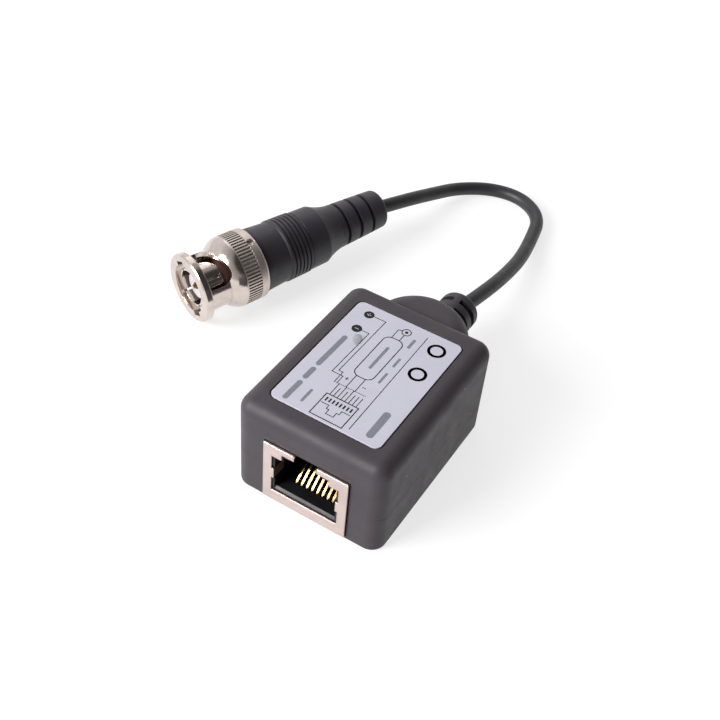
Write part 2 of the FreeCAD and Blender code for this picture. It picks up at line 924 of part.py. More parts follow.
def slot_curves(radius):
    """Front arc and rear ramp of the bayonet slot on a cylinder of the given radius."""
    angles = [
        pocket_angle + (ramp_end_angle - pocket_angle) * step / ramp_steps
        for step in range(ramp_steps + 1)
    ]
    rear = Part.BSplineCurve()
    rear.interpolate([
        slot_point(angle, radius, ramp_station(step / ramp_steps)) for step, angle in enumerate(angles)
    ])
    front = Part.BSplineCurve()
    front.interpolate([slot_point(angle, radius, flange_thickness) for angle in angles])
    return front.toShape(), rear.toShape()


def ramp_tool():
    """A closed block over the helical part of the slot, wider than the barrel's wall."""
    inner_front, inner_rear = slot_curves(slot_inner_radius)
    outer_front, outer_rear = slot_curves(slot_outer_radius)
    faces = [
        Part.makeRuledSurface(inner_front, inner_rear),
        Part.makeRuledSurface(outer_front, outer_rear),
        Part.makeRuledSurface(inner_front, outer_front),
        Part.makeRuledSurface(inner_rear, outer_rear),
    ]
    for end, angle, share in ((0, pocket_angle, 0), (1, ramp_end_angle, 1)):
        corners = [
            slot_point(angle, slot_inner_radius, flange_thickness),
            slot_point(angle, slot_outer_radius, flange_thickness),
            slot_point(angle, slot_outer_radius, ramp_station(share)),
            slot_point(angle, slot_inner_radius, ramp_station(share)),
        ]
        faces.append(Part.Face(Part.makePolygon(corners + [corners[0]])))
    shell = Part.Shell(faces)
    shell.sewShape()
    solid = Part.Solid(shell)
    if solid.Volume < 0:
        solid.reverse()
    return solid


def pocket_tool():
    """The round end of the slot and its straight side down to the flange."""
    outward = around_plug(pocket_angle)
    start = outward * slot_inner_radius + vector(0, 0, pocket_station)
    reach = slot_outer_radius - slot_inner_radius
    drill = Part.makeCylinder(pocket_radius, reach, start, outward)
    corner = vector(slot_inner_radius, -pocket_radius, flange_thickness)
    side = Part.makeBox(reach, 2 * pocket_radius, pocket_station - flange_thickness, corner)
    side.rotate(vector(0, 0, 0), vector(0, 0, 1), -pocket_angle)
    return drill.fuse(side)


def entry_tool():
    """The groove in the flange's bore that lets a lug in."""
    groove = Part.makeBox(entry_radius, entry_width, flange_thickness + 1, vector(0, -entry_width / 2, -1))
    groove.rotate(vector(0, 0, 0), vector(0, 0, 1), -entry_angle)
    return groove


def knurl_tool():
    """All the grooves of the grip, each a small square cutter."""
    cutters = []
    for index in range(knurl_count):
        cutter = Part.makeBox(
            knurl_depth + 1, knurl_width, knurl_end - knurl_start,
            vector(grip_radius - knurl_depth, -knurl_width / 2, knurl_start),
        )
        cutter.rotate(vector(0, 0, 0), vector(0, 0, 1), 360 * index / knurl_count)
        cutters.append(cutter)
    return cutters


def build_sleeve():
    sleeve = turned(sleeve_profile())
    tools = []
    for tool in (ramp_tool(), pocket_tool(), entry_tool()):
        opposite = tool.copy()
        opposite.rotate(vector(0, 0, 0), vector(0, 0, 1), 180)
        tools += [tool, opposite]
    hole_start = around_plug(pin_hole_angle) * (grip_radius - pin_hole_depth) + vector(0, 0, pin_hole_station)
    tools.append(Part.makeCylinder(pin_hole_radius, 3, hole_start, around_plug(pin_hole_angle)))
    for tool in tools:
        sleeve = sleeve.cut(tool)
    sleeve = sleeve.cut(Part.makeCompound(knurl_tool()))
    parts["coupling_sleeve"] = on_plug(sleeve)


def build_plug_body():
    """The plug's fixed body: hub, flange, stem and crimp stem."""
    ring_inner = contact_ring_radius - contact_ring_wall
    seat_end = body_hub_front + seat_depth
    body = turned([
        (body_hub_front, contact_ring_radius),
        (body_hub_front, body_hub_radius),
        (body_flange_front, body_hub_radius),
        (body_flange_front, body_flange_radius),
        (body_flange_back, body_flange_radius),
        (body_flange_back, stem_radius),
        (stem_end, stem_radius),
        (stem_end, crimp_stem_radius),
        (crimp_stem_end, crimp_stem_radius),
        (crimp_stem_end, body_bore_radius),
        (insulator_end, body_bore_radius),
        (insulator_end, insulator_radius),
        (seat_end, insulator_radius),
        (seat_end, contact_ring_radius),
    ])
    parts["plug_body"] = on_plug(body)
    ring = turned([
        (contact_ring_front, ring_inner),
        (contact_ring_front, contact_ring_radius - 0.15),
        (contact_ring_front + 0.15, contact_ring_radius),
        (seat_end, contact_ring_radius),
        (seat_end, ring_inner),
    ])
    for index in range(contact_ring_slots):
        slot_length = contact_ring_slot_end - contact_ring_front + 1
        slot = Part.makeBox(
            contact_ring_radius + 1, contact_ring_slot, slot_length,
            vector(0, -contact_ring_slot / 2, contact_ring_front - 1),
        )
        slot.rotate(vector(0, 0, 0), vector(0, 0, 1), 360 * (index + 0.5) / contact_ring_slots)
        ring = ring.cut(slot)
    parts["outer_contact"] = on_plug(ring)
    insulator = turned([
        (insulator_front, insulator_bore),
        (insulator_front, insulator_radius),
        (insulator_end, insulator_radius),
        (insulator_end, insulator_bore),
    ])
    parts["plug_insulator"] = on_plug(insulator)


def build_pin():
    pin = turned([
        (pin_front, 0),
        (pin_front, pin_tip_radius),
        (pin_front + pin_tip_length, pin_radius),
        (insulator_end, pin_radius),
        (insulator_end, pin_sleeve_radius),
        (pin_end, pin_sleeve_radius),
        (pin_end, conductor_radius),
        (pin_end - pin_socket_depth, conductor_radius),
        (pin_end - pin_socket_depth, 0),
    ])
    parts["centre_pin"] = on_plug(pin)
    conductor_front = pin_end - pin_socket_depth
    end = turned([
        (conductor_front, 0), (conductor_front, conductor_radius), (pin_end, conductor_radius),
        (pin_end, dielectric_radius), (jacket_front, dielectric_radius),
        (jacket_front, cable_radius), (boot_end, cable_radius), (boot_end, 0),
    ])
    parts["coax_plug_end"] = on_plug(end)


def wavy_edges(radius, phase_lift):
    """A closed wave round the axis, with a middle height of the given lift."""
    amplitude = (spring_height - spring_thickness) / 2
    count = 12 * spring_waves
    points = []
    for index in range(count):
        turn = 2 * math.pi * index / count
        height = body_flange_back + amplitude * (1 - math.cos(spring_waves * turn)) + phase_lift
        points.append(vector(radius * math.cos(turn), radius * math.sin(turn), height))
    curve = Part.BSplineCurve()
    curve.interpolate(points, True)
    return curve.toShape()


def build_wave_spring():
    """A ring of thin strip with three waves, between the body's flange and the washer."""
    inner_low = wavy_edges(spring_inner_radius, 0)
    inner_high = wavy_edges(spring_inner_radius, spring_thickness)
    outer_low = wavy_edges(spring_outer_radius, 0)
    outer_high = wavy_edges(spring_outer_radius, spring_thickness)
    faces = [
        Part.makeRuledSurface(inner_low, outer_low),
        Part.makeRuledSurface(inner_high, outer_high),
        Part.makeRuledSurface(inner_low, inner_high),
        Part.makeRuledSurface(outer_low, outer_high),
    ]
    shell = Part.Shell(faces)
    shell.sewShape()
    solid = Part.Solid(shell)
    if solid.Volume < 0:
        solid.reverse()
    parts["wave_spring"] = on_plug(solid)


def plain_ring(inner, outer, front, back):
    return turned([(front, inner), (front, outer), (back, outer), (back, inner)])


def build_plug_rings():
    washer_outer = counterbore_radius - washer_clearance
    washer_inner = stem_radius + washer_clearance
    parts["thrust_washer"] = on_plug(plain_ring(washer_inner, washer_outer, washer_front, washer_back))
    groove_radius = counterbore_radius + ring_groove_depth
    snap = plain_ring(ring_inner_radius, groove_radius, ring_front, ring_back)
    gap = Part.makeBox(groove_radius + 1, 1.6, ring_thickness + 2, vector(0, -0.8, ring_front - 1))
    parts["retaining_ring"] = on_plug(snap.cut(gap))
    gasket_front = body_hub_front - gasket_thickness
    gasket = plain_ring(contact_ring_radius, gasket_outer_radius, gasket_front, body_hub_front)
    parts["front_gasket"] = on_plug(gasket)
    crimp_outer = crimp_stem_radius + crimp_wall
    parts["crimp_ferrule"] = on_plug(turned([
        (crimp_start, crimp_stem_radius), (crimp_start, crimp_outer),
        (crimp_end, crimp_outer), (crimp_end, cable_radius),
        (jacket_front, cable_radius), (jacket_front, crimp_stem_radius),
    ]))


def ridge_radius(station):
    share = (station - ridge_start) / (ridge_end - ridge_start)
    return ridge_radius_front + (ridge_radius_back - ridge_radius_front) * share


def tail_radius(station):
    share = (station - boot_waist_station) / (boot_end - boot_waist_station)
    return boot_waist_radius + (boot_tail_radius - boot_waist_radius) * share


def boot_outside():
    """The boot's outer outline, front to back."""
    path = [
        (boot_front, boot_lip_radius),
        (boot_front + boot_lip_length, boot_lip_radius),
        (boot_front + boot_lip_length, boot_front_radius),
        (boot_smooth_end, boot_smooth_radius),
        (ridge_start, ridge_radius(ridge_start)),
    ]
    pitch = (ridge_end - ridge_start) / ridge_count
    for index in range(ridge_count):
        station = ridge_start + pitch * (index + 1) - ridge_groove_width
        deep = ridge_radius(station) - ridge_groove_depth
        path.append((station, ridge_radius(station)))
        path.append((station + groove_flank, deep))
        path.append((station + ridge_groove_width - groove_flank, deep))
        if index < ridge_count - 1:
            after = station + ridge_groove_width
            path.append((after, ridge_radius(after)))
    path.append((ridge_end, boot_band_radius))
    path.append((boot_band_end, boot_shoulder_radius))
    path.append((boot_waist_curve, (boot_waist_station, boot_waist_radius)))
    for station in tail_grooves:
        front = station - tail_groove_width / 2
        back = station + tail_groove_width / 2
        deep = tail_radius(station) - tail_groove_depth
        path += [(front, tail_radius(front)), (front + groove_flank, deep)]
        path += [(back - groove_flank, deep), (back, tail_radius(back))]
    rounding = boot_end_round * (1 - math.sin(math.radians(45)))
    last_radius = tail_radius(boot_end)
    path.append((boot_end - boot_end_round, last_radius))
    path.append(((boot_end - rounding, last_radius - rounding), (boot_end, last_radius - boot_end_round)))
    return path


def build_boot():
    path = boot_outside()
    crimp_outer = crimp_stem_radius + crimp_wall
    path += [
        (boot_end, cable_radius),
        (crimp_end, cable_radius),
        (crimp_end, crimp_outer),
        (stem_end, crimp_outer),
        (stem_end, stem_radius),
        (boot_front, stem_radius),
    ]
    parts["plug_boot"] = on_plug(turned(path))


def build_all():
    build_housing()
    build_label()
    build_shield()
    build_contacts()
    build_insulator()
    build_board()
    build_transformer()
    build_relief()
    build_inner_coax()
    build_solder()
    build_cable()
    build_sleeve()
    build_plug_body()
    build_pin()
    build_wave_spring()
    build_plug_rings()
    build_boot()


def export_all():
    os.makedirs("parts", exist_ok=True)
    for name, shape in parts.items():
        shape.exportStep(f"parts/{name}.step")
        low = shape.BoundBox.ZMin
        solids = len(shape.Solids)
        print(f"{name}: {solids} solids, {shape.Volume:.1f} mm3, lowest {low:.3f}, valid {shape.isValid()}")


build_all()
export_all()
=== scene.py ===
# %% [markdown]
# A video balun for security cameras, dressed for a photograph.
#
# The real thing is a small moulded box with a shielded modular jack in one end. A short coaxial
# pigtail leaves the other end, loops round and comes back with a bayonet plug on it. The measured
# solids come in first. They stay where they are, and every later cell adds a finish or a finer
# skin to them.

# %% Bring in the measured model
import bpy
import json
import math
from mathutils import Matrix, Vector


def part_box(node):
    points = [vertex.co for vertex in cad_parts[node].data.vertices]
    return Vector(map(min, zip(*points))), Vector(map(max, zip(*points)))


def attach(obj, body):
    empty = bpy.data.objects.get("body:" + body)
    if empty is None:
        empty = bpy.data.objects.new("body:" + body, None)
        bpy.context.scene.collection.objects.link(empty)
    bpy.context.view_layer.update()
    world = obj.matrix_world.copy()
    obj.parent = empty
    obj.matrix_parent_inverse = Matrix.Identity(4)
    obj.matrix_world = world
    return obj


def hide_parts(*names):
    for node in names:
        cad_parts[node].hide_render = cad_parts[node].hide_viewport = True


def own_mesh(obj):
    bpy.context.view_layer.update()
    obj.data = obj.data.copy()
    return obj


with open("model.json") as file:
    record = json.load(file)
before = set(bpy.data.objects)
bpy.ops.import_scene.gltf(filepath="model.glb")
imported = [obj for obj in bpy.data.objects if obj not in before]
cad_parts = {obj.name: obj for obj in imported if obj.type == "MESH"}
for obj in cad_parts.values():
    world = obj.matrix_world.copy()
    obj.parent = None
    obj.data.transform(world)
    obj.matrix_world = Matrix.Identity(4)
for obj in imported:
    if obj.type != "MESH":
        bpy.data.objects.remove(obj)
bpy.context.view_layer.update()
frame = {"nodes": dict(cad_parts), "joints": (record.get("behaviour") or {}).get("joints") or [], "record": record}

scene = bpy.context.scene
nodes = frame["nodes"]
MM = 0.001
print("solids loaded:", len(nodes))

# %% [markdown]
# Blender's operators act on whatever is selected, and the solids come in selected. Two small
# helpers keep that in order: one clears the selection, and one selects a single object.

# %% Helpers for the selection
def clear_selection():
    bpy.ops.object.select_all(action="DESELECT")


def select_only(piece):
    clear_selection()
    piece.select_set(True)
    bpy.context.view_layer.objects.active = piece


clear_selection()
print("selected now:", len(bpy.context.selected_objects))

# %% [markdown]
# The camera comes first, because everything is judged through it. A product photographer stands
# a little to the right of the jack and looks down on it at about 44 degrees. A real camera could
# be aimed by eye, but here its place and its three axes were worked out from the corners of the
# box in the photograph, so they are simply written down.

# %% The camera
CAMERA_PLACE = (0.05924, -0.11573, 0.1463)
CAMERA_RIGHT = (0.8481, 0.5253, 0.0699)
CAMERA_BACK = (0.3378, -0.6375, 0.6925)
FOCAL_LENGTH = 55.39
FILM_WIDTH = 36.0


def place_camera():
    lens = bpy.data.cameras.new("product_camera")
    lens.lens = FOCAL_LENGTH
    lens.sensor_width = FILM_WIDTH
    lens.clip_start = 0.005
    lens.clip_end = 20.0
    camera = bpy.data.objects.new("product_camera", lens)
    scene.collection.objects.link(camera)
    right = Vector(CAMERA_RIGHT).normalized()
    back = Vector(CAMERA_BACK).normalized()
    up = back.cross(right).normalized()
    right = up.cross(back)
    turn = Matrix((right, up, back)).transposed()
    camera.matrix_world = Matrix.Translation(CAMERA_PLACE) @ turn.to_4x4()
    scene.camera = camera
    return camera


camera = place_camera()
print("camera at", [round(value, 4) for value in camera.location])

# %% [markdown]
# One measured piece changes its shape when the coupling travels: the wave spring inside the
# sleeve, which rests on the flange. A copy of it stands in for the solid.
# At the end of the travel 0.3 mm of its 1.1 mm are left, which is a little more than its strip.

# %% The wave spring
def make_wave_spring():
    select_only(nodes["wave_spring"])
    bpy.ops.object.duplicate()
    spring = bpy.context.object
    spring.name = "wave_spring_skin"
    for key in list(spring.keys()):
        del spring[key]
    return spring


spring_seat = (-0.0427052, 0.0177820, 0.0072409)
travel = next(joint for joint in frame["joints"] if joint["name"] == "coupling_travel")
wave_spring = make_wave_spring()
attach(wave_spring, "balun")
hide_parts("wave_spring")
print("spring:", wave_spring.name, "follows", travel["name"])

# %% [markdown]
# The cable is a limp coaxial lead 2.9 mm thick. It leaves the strain relief, sinks to the table,
# makes one wide turn there and climbs into the boot of the plug. A NURBS curve suits it well. It
# needs only a few control points, and its curvature changes smoothly, as a real lead's does. Its
# two ends reach a little way into the relief and the boot, so no gap opens there.

# %% The cable's line
CABLE_DIAMETER = 2.9 * MM
cable_points = [
    (0.0, 34.2, 8.28), (1.2, 43.6, 7.1), (1.3, 52.5, 5.2), (0.8, 61.5, 3.3), (-0.8, 70.5, 2.0),
    (-2.8, 79.4, 1.5), (-8.9, 83.9, 1.5), (-16.2, 83.3, 1.5), (-22.4, 77.7, 2.2),
    (-25.0, 69.4, 4.2), (-26.9, 61.0, 6.6), (-29.67, 51.75, 8.32),
]


def make_cable_line():
    curve = bpy.data.curves.new("video_cable", "CURVE")
    curve.dimensions = "3D"
    curve.resolution_u = 24
    spline = curve.splines.new("NURBS")
    spline.points.add(len(cable_points) - 1)
    for point, place in zip(spline.points, cable_points):
        point.co = (place[0] * MM, place[1] * MM, place[2] * MM, 1.0)
    spline.order_u = 3
    spline.use_endpoint_u = True
    cable = bpy.data.objects.new("video_cable", curve)
    scene.collection.objects.link(cable)
    return cable


cable = make_cable_line()
line = bpy.data.meshes.new_from_object(cable)
cable_path = [tuple(vertex.co) for vertex in line.vertices]
cable_length = sum((Vector(b) - Vector(a)).length for a, b in zip(cable_path, cable_path[1:]))
bpy.data.meshes.remove(line)
print("cable length in mm:", round(cable_length / MM, 1))

# %% [markdown]
# A bare curve has no thickness. A round bevel turns it into a tube, and the tube is then made a
# mesh, because a mesh has a true bounding box and the same smooth skin everywhere.

# %% The cable's tube
def make_cable_tube():
    cable.data.bevel_depth = CABLE_DIAMETER / 2
    cable.data.bevel_resolution = 8
    cable.data.use_fill_caps = True
    select_only(cable)
    bpy.ops.object.convert(target="MESH")
    bpy.ops.object.shade_smooth_by_angle(angle=math.radians(50))
    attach(cable, "balun")
    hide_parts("cable")


make_cable_tube()
print("cable faces:", len(cable.data.polygons))

# %% [markdown]
# Materials are built from nodes. A few small helpers keep that readable: one starts a material
# with its shader, one adds a node, and one joins two sockets. The patterns read Object
# coordinates, so they keep their real size in metres and stay put on the piece.

# %% Helpers for nodes
def add_node(tree, kind, **settings):
    node = tree.nodes.new(kind)
    for name, value in settings.items():
        setattr(node, name, value)
    return node


def join(tree, source, target):
    tree.links.new(source, target)


def start_material(name):
    material = bpy.data.materials.new(name)
    material.use_nodes = True
    tree = material.node_tree
    tree.nodes.clear()
    output = add_node(tree, "ShaderNodeOutputMaterial")
    shader = add_node(tree, "ShaderNodeBsdfPrincipled")
    join(tree, shader.outputs["BSDF"], output.inputs["Surface"])
    place = add_node(tree, "ShaderNodeTexCoord")
    return material, tree, shader, place.outputs["Object"]


def start_group(name, inputs, outputs):
    group = bpy.data.node_groups.new(name, "ShaderNodeTree")
    for label, kind, value in inputs:
        socket = group.interface.new_socket(name=label, in_out="INPUT", socket_type=kind)
        if value is not None:
            socket.default_value = value
    for label, kind in outputs:
        group.interface.new_socket(name=label, in_out="OUTPUT", socket_type=kind)
    entry = add_node(group, "NodeGroupInput")
    leave = add_node(group, "NodeGroupOutput")
    return group, entry, leave


def use_group(tree, group, **values):
    node = add_node(tree, "ShaderNodeGroup", node_tree=group)
    for name, value in values.items():
        node.inputs[name.replace("_", " ")].default_value = value
    return node


# %% [markdown]
# Moulded plastic copies its tool. The cavity of this housing was spark eroded, which leaves a fine
# satin grain, and the same grain in a softer form is on the boot and the relief. One node group
# makes it for all of them: two noises of different size are added, and their sum is the height.

# %% Group: moulded grain
def make_grain_group():
    group, entry, leave = start_group(
        "moulded_grain",
        [("Vector", "NodeSocketVector", None), ("Grain size", "NodeSocketFloat", 0.0003)],
        [("Height", "NodeSocketFloat")],
    )
    frequency = add_node(group, "ShaderNodeMath", operation="DIVIDE")
    frequency.inputs[0].default_value = 1.0
    join(group, entry.outputs["Grain size"], frequency.inputs[1])
    coarse = add_node(group, "ShaderNodeTexNoise")
    coarse.inputs["Detail"].default_value = 3.0
    coarse.inputs["Roughness"].default_value = 0.55
    join(group, entry.outputs["Vector"], coarse.inputs["Vector"])
    join(group, frequency.outputs[0], coarse.inputs["Scale"])
    doubled = add_node(group, "ShaderNodeMath", operation="MULTIPLY")
    doubled.inputs[1].default_value = 1.7
    join(group, frequency.outputs[0], doubled.inputs[0])
    pits = add_node(group, "ShaderNodeTexVoronoi", feature="SMOOTH_F1")
    pits.inputs["Smoothness"].default_value = 0.6
    join(group, entry.outputs["Vector"], pits.inputs["Vector"])
    join(group, doubled.outputs[0], pits.inputs["Scale"])
    blend = add_node(group, "ShaderNodeMath", operation="MULTIPLY_ADD")
    blend.inputs[1].default_value = 0.5
    join(group, pits.outputs["Distance"], blend.inputs[0])
    join(group, coarse.outputs["Fac"], blend.inputs[2])
    join(group, blend.outputs[0], leave.inputs["Height"])
    return group


moulded_grain = make_grain_group()
print("group made:", moulded_grain.name)

# %% [markdown]
# No real surface has one even tone. Handling, cooling and plating leave soft clouds in colour and
# gloss. This group turns a noise into a value between two limits, and each finish sets its own
# limits and cloud size.

# %% Group: soft clouds
def make_cloud_group():
    group, entry, leave = start_group(
        "soft_clouds",
        [("Vector", "NodeSocketVector", None), ("Cloud size", "NodeSocketFloat", 0.004),
         ("Low", "NodeSocketFloat", 0.0), ("High", "NodeSocketFloat", 1.0)],
        [("Value", "NodeSocketFloat")],
    )
    frequency = add_node(group, "ShaderNodeMath", operation="DIVIDE")
    frequency.inputs[0].default_value = 1.0
    join(group, entry.outputs["Cloud size"], frequency.inputs[1])
    noise = add_node(group, "ShaderNodeTexNoise")
    noise.inputs["Detail"].default_value = 4.0
    noise.inputs["Roughness"].default_value = 0.6
    join(group, entry.outputs["Vector"], noise.inputs["Vector"])
    join(group, frequency.outputs[0], noise.inputs["Scale"])
    spread = add_node(group, "ShaderNodeMapRange")
    spread.inputs["From Min"].default_value = 0.3
    spread.inputs["From Max"].default_value = 0.7
    join(group, noise.outputs["Fac"], spread.inputs["Value"])
    join(group, entry.outputs["Low"], spread.inputs["To Min"])
    join(group, entry.outputs["High"], spread.inputs["To Max"])
    join(group, spread.outputs["Result"], leave.inputs["Value"])
    return group


soft_clouds = make_cloud_group()
print("group made:", soft_clouds.name)

# %% [markdown]
# Edges are never knife sharp, and they are the first place to be rubbed. Cycles can round a
# normal near an edge with its Bevel node. The angle between that rounded normal and the true one
# is a mask of the edges, so one group gives both. Where a plastic lays a lighter tone along this
# mask, that is partly wear and partly a painted highlight of the light that a round edge catches.

# %% Group: rubbed edges and painted edge highlight
def make_edge_group():
    group, entry, leave = start_group(
        "edges_worn_and_highlighted",
        [("Edge width", "NodeSocketFloat", 0.0002), ("Gain", "NodeSocketFloat", 4.0)],
        [("Mask", "NodeSocketFloat"), ("Normal", "NodeSocketVector")],
    )
    rounding = add_node(group, "ShaderNodeBevel", samples=6)
    join(group, entry.outputs["Edge width"], rounding.inputs["Radius"])
    true_normal = add_node(group, "ShaderNodeNewGeometry")
    dot = add_node(group, "ShaderNodeVectorMath", operation="DOT_PRODUCT")
    join(group, rounding.outputs["Normal"], dot.inputs[0])
    join(group, true_normal.outputs["Normal"], dot.inputs[1])
    gap = add_node(group, "ShaderNodeMath", operation="SUBTRACT")
    gap.inputs[0].default_value = 1.0
    join(group, dot.outputs["Value"], gap.inputs[1])
    scaled = add_node(group, "ShaderNodeMath", operation="MULTIPLY", use_clamp=True)
    join(group, gap.outputs[0], scaled.inputs[0])
    join(group, entry.outputs["Gain"], scaled.inputs[1])
    join(group, scaled.outputs[0], leave.inputs["Mask"])
    join(group, rounding.outputs["Normal"], leave.inputs["Normal"])
    return group


edges_worn_and_highlighted = make_edge_group()
print("group made:", edges_worn_and_highlighted.name)

# %% [markdown]
# Narrow places get less light. Ambient occlusion says how closed in a point is, so its opposite is a
# mask of the crevices: knurl grooves, slots, and the joints between pieces. The finishes darken their
# colour along this mask, which is painted shade.

# %% Group: painted shade in crevices
def make_crevice_shade_group():
    group, entry, leave = start_group(
        "painted_crevice_shade",
        [("Reach", "NodeSocketFloat", 0.0005), ("Gain", "NodeSocketFloat", 1.5)],
        [("Mask", "NodeSocketFloat")],
    )
    shut_in = add_node(group, "ShaderNodeAmbientOcclusion", samples=6)
    join(group, entry.outputs["Reach"], shut_in.inputs["Distance"])
    inverse = add_node(group, "ShaderNodeMath", operation="SUBTRACT")
    inverse.inputs[0].default_value = 1.0
    join(group, shut_in.outputs["AO"], inverse.inputs[1])
    scaled = add_node(group, "ShaderNodeMath", operation="MULTIPLY", use_clamp=True)
    join(group, inverse.outputs[0], scaled.inputs[0])
    join(group, entry.outputs["Gain"], scaled.inputs[1])
    join(group, scaled.outputs[0], leave.inputs["Mask"])
    return group


painted_crevice_shade = make_crevice_shade_group()
print("group made:", painted_crevice_shade.name)

# %% [markdown]
# The housing has been on a workshop bench. A few pale specks lie on it, some of them tiny nicks
# and some dust. A Voronoi texture gives one random point in each cell. Only the cells whose
# random colour is low enough keep their speck, so the specks are sparse and uneven.

# %% Group: pale specks
SPECK_RADIUS = 0.055
SPECK_SPACING = 0.0035
SPECK_TONE = (0.24, 0.23, 0.24)


def make_speck_group():
    group, entry, leave = start_group(
        "pale_specks",
        [("Vector", "NodeSocketVector", None), ("Spacing", "NodeSocketFloat", 0.003),
         ("Share", "NodeSocketFloat", 0.1)],
        [("Mask", "NodeSocketFloat")],
    )
    frequency = add_node(group, "ShaderNodeMath", operation="DIVIDE")
    frequency.inputs[0].default_value = 1.0
    join(group, entry.outputs["Spacing"], frequency.inputs[1])
    cells = add_node(group, "ShaderNodeTexVoronoi", feature="F1")
    join(group, entry.outputs["Vector"], cells.inputs["Vector"])
    join(group, frequency.outputs[0], cells.inputs["Scale"])
    near = add_node(group, "ShaderNodeMath", operation="LESS_THAN")
    near.inputs[1].default_value = SPECK_RADIUS
    join(group, cells.outputs["Distance"], near.inputs[0])
    chance = add_node(group, "ShaderNodeSeparateColor")
    join(group, cells.outputs["Color"], chance.inputs["Color"])
    kept = add_node(group, "ShaderNodeMath", operation="LESS_THAN")
    join(group, chance.outputs["Red"], kept.inputs[0])
    join(group, entry.outputs["Share"], kept.inputs[1])
    both = add_node(group, "ShaderNodeMath", operation="MULTIPLY")
    join(group, near.outputs[0], both.inputs[0])
    join(group, kept.outputs[0], both.inputs[1])
    join(group, both.outputs[0], leave.inputs["Mask"])
    return group


pale_specks = make_speck_group()
print("group made:", pale_specks.name)

# %% [markdown]
# Most finishes here are one of two kinds. A plastic mixes two close tones by the clouds, takes its
# gloss from a second set of clouds and its bump from the grain. A metal does the same with a full
# Metallic, and has shade painted into its crevices. One function for each keeps the finishes alike in build
# and different in numbers. A small function lays one colour over another by a mask. The Mix node
# has separate sockets for numbers, vectors and colours, so its colour sockets are named here.

# %% Helpers: mixing colours
MIX_FACTOR, MIX_COLOUR_A, MIX_COLOUR_B, MIX_COLOUR_OUT = 0, 6, 7, 2


def lay_over(tree, under, tone, mask):
    mixed = add_node(tree, "ShaderNodeMix", data_type="RGBA")
    mixed.inputs[MIX_COLOUR_B].default_value = (*tone, 1.0)
    join(tree, mask, mixed.inputs[MIX_FACTOR])
    join(tree, under, mixed.inputs[MIX_COLOUR_A])
    return mixed.outputs[MIX_COLOUR_OUT]


def clouded_tone(tree, place, dark, light, cloud):
    tone = use_group(tree, soft_clouds, Cloud_size=cloud, Low=0.0, High=1.0)
    join(tree, place, tone.inputs["Vector"])
    mixed = add_node(tree, "ShaderNodeMix", data_type="RGBA")
    mixed.inputs[MIX_COLOUR_A].default_value = (*dark, 1.0)
    mixed.inputs[MIX_COLOUR_B].default_value = (*light, 1.0)
    join(tree, tone.outputs["Value"], mixed.inputs[MIX_FACTOR])
    return mixed.outputs[MIX_COLOUR_OUT]


# %% Helper: grain and gloss
GLOSS_CLOUD_SHARE = 0.4


def grain_and_gloss(tree, shader, place, rough, cloud, grain_size, grain_depth):
    gloss = use_group(tree, soft_clouds, Cloud_size=cloud * GLOSS_CLOUD_SHARE, Low=rough[0],
                      High=rough[1])
    grain = use_group(tree, moulded_grain, Grain_size=grain_size)
    join(tree, place, gloss.inputs["Vector"])
    join(tree, place, grain.inputs["Vector"])
    bump = add_node(tree, "ShaderNodeBump")
    bump.inputs["Strength"].default_value = 1.0
    bump.inputs["Distance"].default_value = grain_depth
    join(tree, grain.outputs["Height"], bump.inputs["Height"])
    join(tree, gloss.outputs["Value"], shader.inputs["Roughness"])
    join(tree, bump.outputs["Normal"], shader.inputs["Normal"])
    return bump


# %% Function: plastic finish
CREVICE_SHADE_SHARE = 0.25


def plastic(name, dark, light, rough, grain_size, grain_depth, cloud=0.006, edge=0.0, edge_wear_and_highlight_tone=None,
            level=0.5, specks=0.0, shade=0.0):
    material, tree, shader, place = start_material(name)
    shader.inputs["Specular IOR Level"].default_value = level
    colour = clouded_tone(tree, place, dark, light, cloud)
    bump = grain_and_gloss(tree, shader, place, rough, cloud, grain_size, grain_depth)
    if specks:
        speck = use_group(tree, pale_specks, Spacing=SPECK_SPACING, Share=specks)
        join(tree, place, speck.inputs["Vector"])
        colour = lay_over(tree, colour, SPECK_TONE, speck.outputs["Mask"])
    if edge:
        # Along the edges the colour turns to the edge tone, which is partly wear and partly a painted highlight.
        edge_rounding = use_group(tree, edges_worn_and_highlighted, Edge_width=edge, Gain=3.0)
        colour = lay_over(tree, colour, edge_wear_and_highlight_tone, edge_rounding.outputs["Mask"])
        join(tree, edge_rounding.outputs["Normal"], bump.inputs["Normal"])
    if shade:
        # Painted shade: the colour darkens where ambient occlusion finds a crevice or a joint.
        crevice = use_group(tree, painted_crevice_shade, Reach=shade, Gain=1.3)
        deep = [tone * CREVICE_SHADE_SHARE for tone in dark]
        colour = lay_over(tree, colour, deep, crevice.outputs["Mask"])
    join(tree, colour, shader.inputs["Base Color"])
    return material


# %% Function: metal finish
def metal(name, dark, light, rough, mark_size, mark_depth, cloud=0.003, edge=0.0001, reach=0.0006,
          gain=1.2, crevice_shade_tone=(0.09, 0.06, 0.04)):
    material, tree, shader, place = start_material(name)
    shader.inputs["Metallic"].default_value = 1.0
    colour = clouded_tone(tree, place, dark, light, cloud)
    bump = grain_and_gloss(tree, shader, place, rough, cloud, mark_size, mark_depth)
    # Painted shade: the colour turns to a dark tone in the crevices that ambient occlusion finds.
    crevice = use_group(tree, painted_crevice_shade, Reach=reach, Gain=gain)
    colour = lay_over(tree, colour, crevice_shade_tone, crevice.outputs["Mask"])
    edge_rounding = use_group(tree, edges_worn_and_highlighted, Edge_width=edge, Gain=1.0)
    join(tree, edge_rounding.outputs["Normal"], bump.inputs["Normal"])
    join(tree, colour, shader.inputs["Base Color"])
    return material
